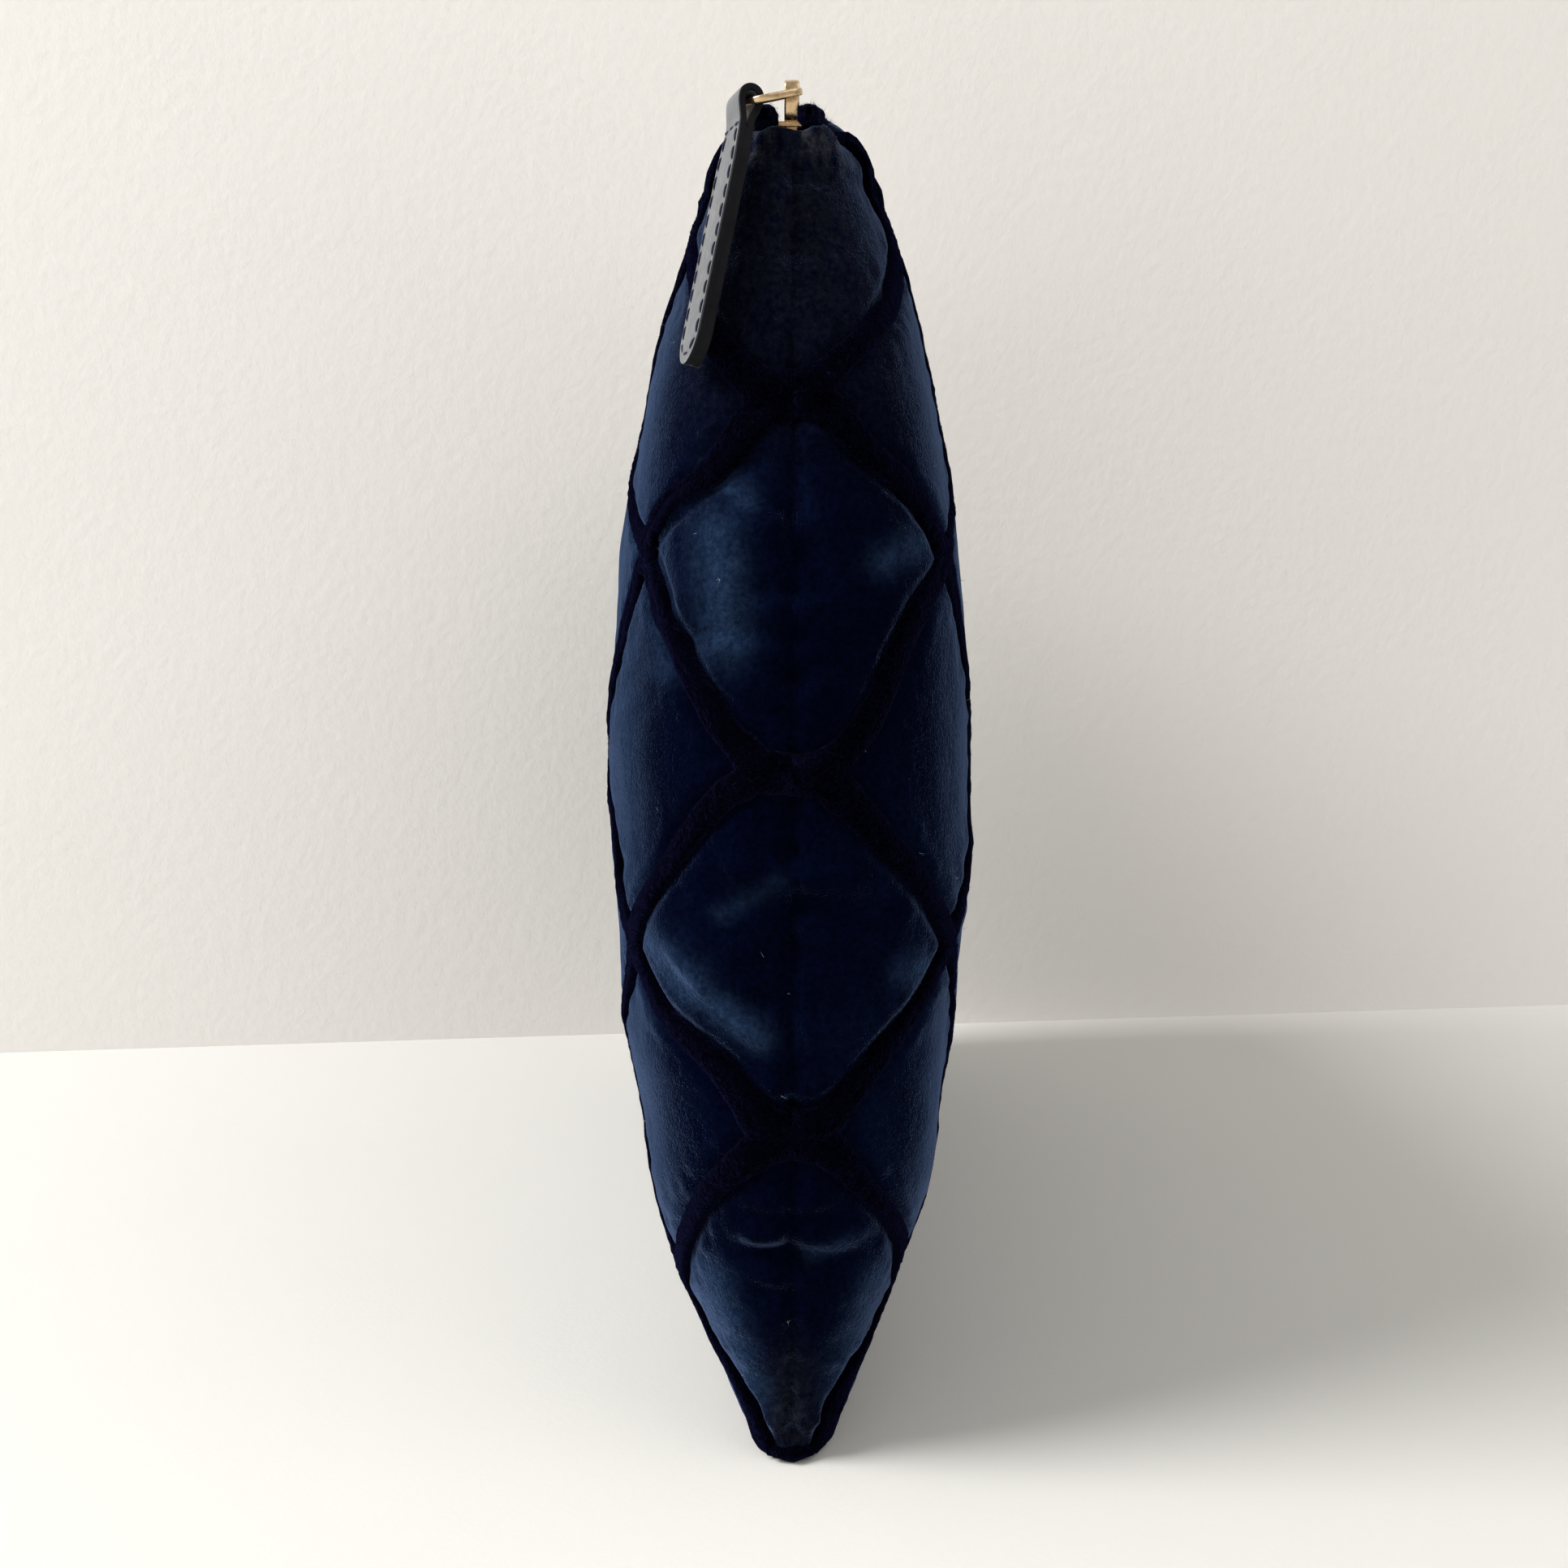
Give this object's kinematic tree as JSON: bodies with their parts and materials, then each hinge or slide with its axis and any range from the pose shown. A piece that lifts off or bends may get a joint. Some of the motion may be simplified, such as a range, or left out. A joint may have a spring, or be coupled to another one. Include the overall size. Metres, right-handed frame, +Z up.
{
  "type": "zippered pouch",
  "caption": "Tall stuffed velvet zip pouch under a trellis of felt trim, with a metal zip, slider, ring and folded leather pull.",
  "frame": {"origin": "middle of the base that the pouch stands on", "axes": "+X along the zip towards the closed slider, front panel and pull towards -Y, +Z up"},
  "size_m": [0.2822, 0.0684, 0.219],
  "materials": {
    "velvet": "velvet pile, petrol blue",
    "padding": "soft interlining",
    "lining": "satin lining",
    "trim": "napped felt, near-black navy",
    "tape": "woven tape",
    "zip_metal": "pale gold plate",
    "leather": "smooth navy leather",
    "thread": "navy thread"
  },
  "bodies": {
    "pouch": {"velvet_front": "velvet", "velvet_back": "velvet", "padding_front": "padding", "padding_back": "padding", "lining_front": "lining", "lining_back": "lining", "trim_front": "trim", "trim_back": "trim", "top_stops": "zip_metal", "bottom_stop": "zip_metal"},
    "front_lip": {"lip_velvet_front": "velvet", "lip_trim_front": "trim", "tape_front": "tape", "teeth_front": "zip_metal"},
    "back_lip": {"lip_velvet_back": "velvet", "lip_trim_back": "trim", "tape_back": "tape", "teeth_back": "zip_metal"},
    "slider": {"slider_body": "zip_metal", "slider_crown": "zip_metal"},
    "ring": {"pull_ring": "zip_metal"},
    "pull": {"pull_strap": "leather", "pull_stitching": "thread"}
  },
  "joints": [
    {"name": "zip_slide", "type": "slide", "parent": "pouch", "child": "slider", "axis": [-1, 0, 0], "range_m": [0, 0.242], "deforming": ["lip_velvet_front", "lip_trim_front", "tape_front", "teeth_front", "lip_velvet_back", "lip_trim_back", "tape_back", "teeth_back", "pull_strap", "pull_stitching"]},
    {"name": "front_lip_part", "type": "slide", "parent": "pouch", "child": "front_lip", "axis": [0, -1, 0], "range_m": [0, 0.0102]},
    {"name": "back_lip_part", "type": "slide", "parent": "pouch", "child": "back_lip", "axis": [0, 1, 0], "range_m": [0, 0.0102]},
    {"name": "ring_hinge", "type": "hinge", "parent": "slider", "child": "ring", "pos_m": [0.12898, 0.00271, 0.21724], "axis": [-0.9511, -0.309, 0], "range_deg": [0, 10]},
    {"name": "pull_hinge", "type": "hinge", "parent": "ring", "child": "pull", "pos_m": [0.13215, -0.00703, 0.21543], "axis": [-0.9511, -0.309, 0], "range_deg": [0, 150]}
  ],
  "couplings": [
    {"joint": "front_lip_part", "follows": "zip_slide", "ratio": 0.042},
    {"joint": "back_lip_part", "follows": "zip_slide", "ratio": 0.042}
  ]
}
